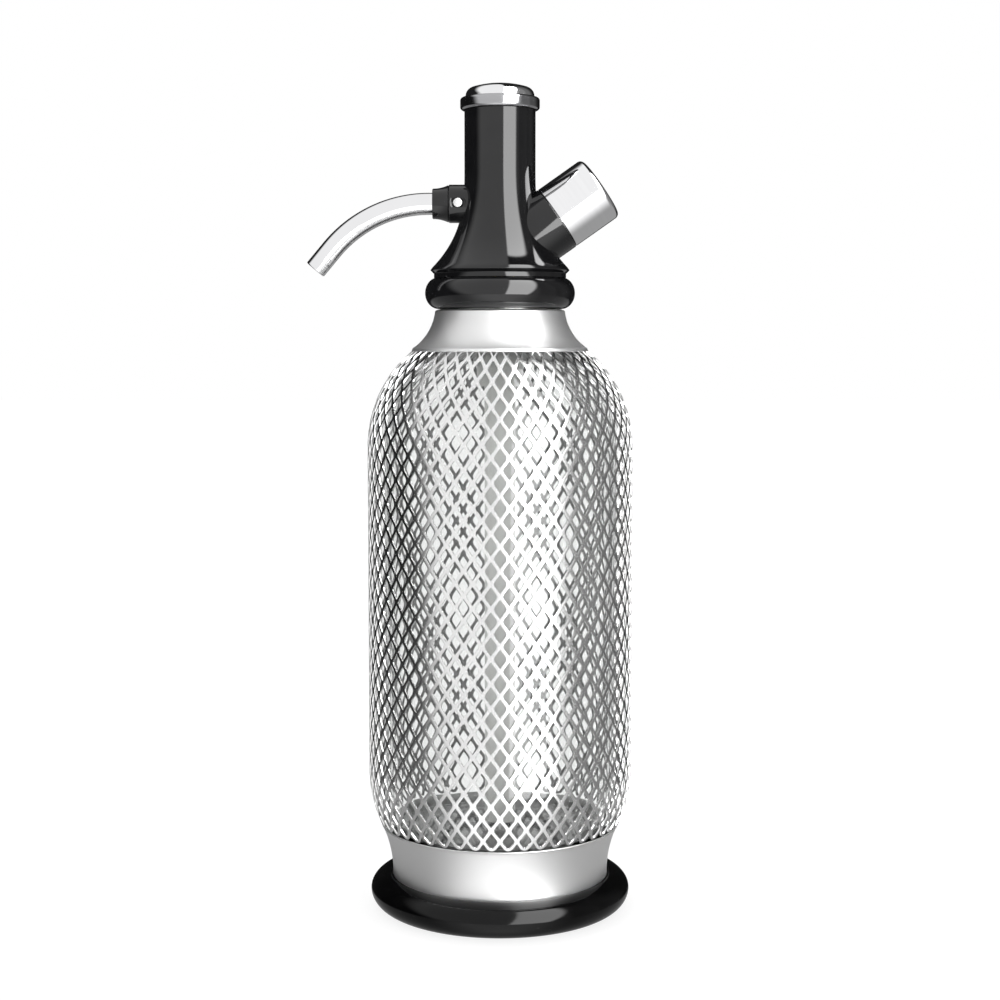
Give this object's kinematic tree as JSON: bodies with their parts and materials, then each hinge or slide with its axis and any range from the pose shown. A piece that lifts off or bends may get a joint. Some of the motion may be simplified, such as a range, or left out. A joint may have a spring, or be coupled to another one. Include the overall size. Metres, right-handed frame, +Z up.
{
  "type": "soda siphon",
  "caption": "Glass soda siphon in an expanded-metal sleeve, with a push-button head, a bent spout, a charging port under a screw cap and a bead-shaped coupling nut.",
  "frame": {"origin": "on the bottle's axis, at the underside of the foot ring", "axes": "+Z up along the bottle's axis, -X along the straight part of the spout, +X towards the charging port"},
  "size_m": [0.1261, 0.103, 0.321],
  "materials": {
    "glass": "clear, faintly green at the edge",
    "mesh": "bright expanded metal",
    "spun_steel": "satin, spun round its axis",
    "alloy": "turned",
    "seat_plastic": "moulded",
    "pad_foam": "matt",
    "foot_plastic": "moulded, glossy",
    "head_plastic": "moulded, glossy",
    "white_plastic": "moulded",
    "rubber": "matt",
    "brass": "turned",
    "chrome": "bright plated",
    "spring_steel": "drawn wire",
    "pin_steel": "turned, bright"
  },
  "bodies": {
    "bottle": {"glass_bottle": "glass", "mesh_sleeve": "mesh", "neck_collar": "spun_steel", "neck_thread_ring": "alloy", "base_band": "spun_steel", "bottle_seat": "seat_plastic", "base_pad": "pad_foam", "foot_ring": "foot_plastic", "bottle_seal": "rubber", "insert_flange": "white_plastic", "riser_tube": "white_plastic", "measuring_tube": "white_plastic"},
    "head": {"head_body": "head_plastic", "head_spigot": "brass", "riser_seal": "rubber", "valve_seat": "brass", "stem_seal": "rubber", "stem_guide": "white_plastic", "return_spring": "spring_steel", "bezel_ring": "chrome", "spout_tube": "chrome", "spout_ferrule": "head_plastic", "spout_seal": "rubber", "spout_pins": "pin_steel", "charger_port": "alloy", "piercing_pin": "pin_steel", "charger_seal": "rubber", "check_valve": "rubber"},
    "nut": {"union_nut": "head_plastic"},
    "button": {"push_button": "chrome", "valve_stem": "pin_steel", "valve_washer": "rubber"},
    "cap_disc": {"cap_seal": "rubber"},
    "cap": {"port_cap": "chrome"}
  },
  "joints": [
    {"name": "head_rise", "type": "slide", "parent": "bottle", "child": "head", "axis": [0, 0, 1], "range_m": [0, 0.0075]},
    {"name": "nut_turn", "type": "hinge", "parent": "head", "child": "nut", "pos_m": [0, 0, 0.241], "axis": [0, 0, 1], "range_deg": [0, 1080]},
    {"name": "button_press", "type": "slide", "parent": "head", "child": "button", "axis": [0, 0, -1], "range_m": [0, 0.0035], "stiffness_N_per_m": 2000, "springref_m": -0.002, "deforming": ["return_spring"]},
    {"name": "cap_rise", "type": "slide", "parent": "head", "child": "cap_disc", "axis": [0.8192, 0, 0.5736], "range_m": [0, 0.009]},
    {"name": "cap_turn", "type": "hinge", "parent": "cap_disc", "child": "cap", "pos_m": [0.03031, 0, 0.27577], "axis": [0.8192, 0, 0.5736], "range_deg": [0, 1620]}
  ],
  "couplings": [
    {"joint": "nut_turn", "follows": "head_rise", "rad_per_m": 2513.3},
    {"joint": "cap_turn", "follows": "cap_rise", "rad_per_m": 3141.6}
  ]
}
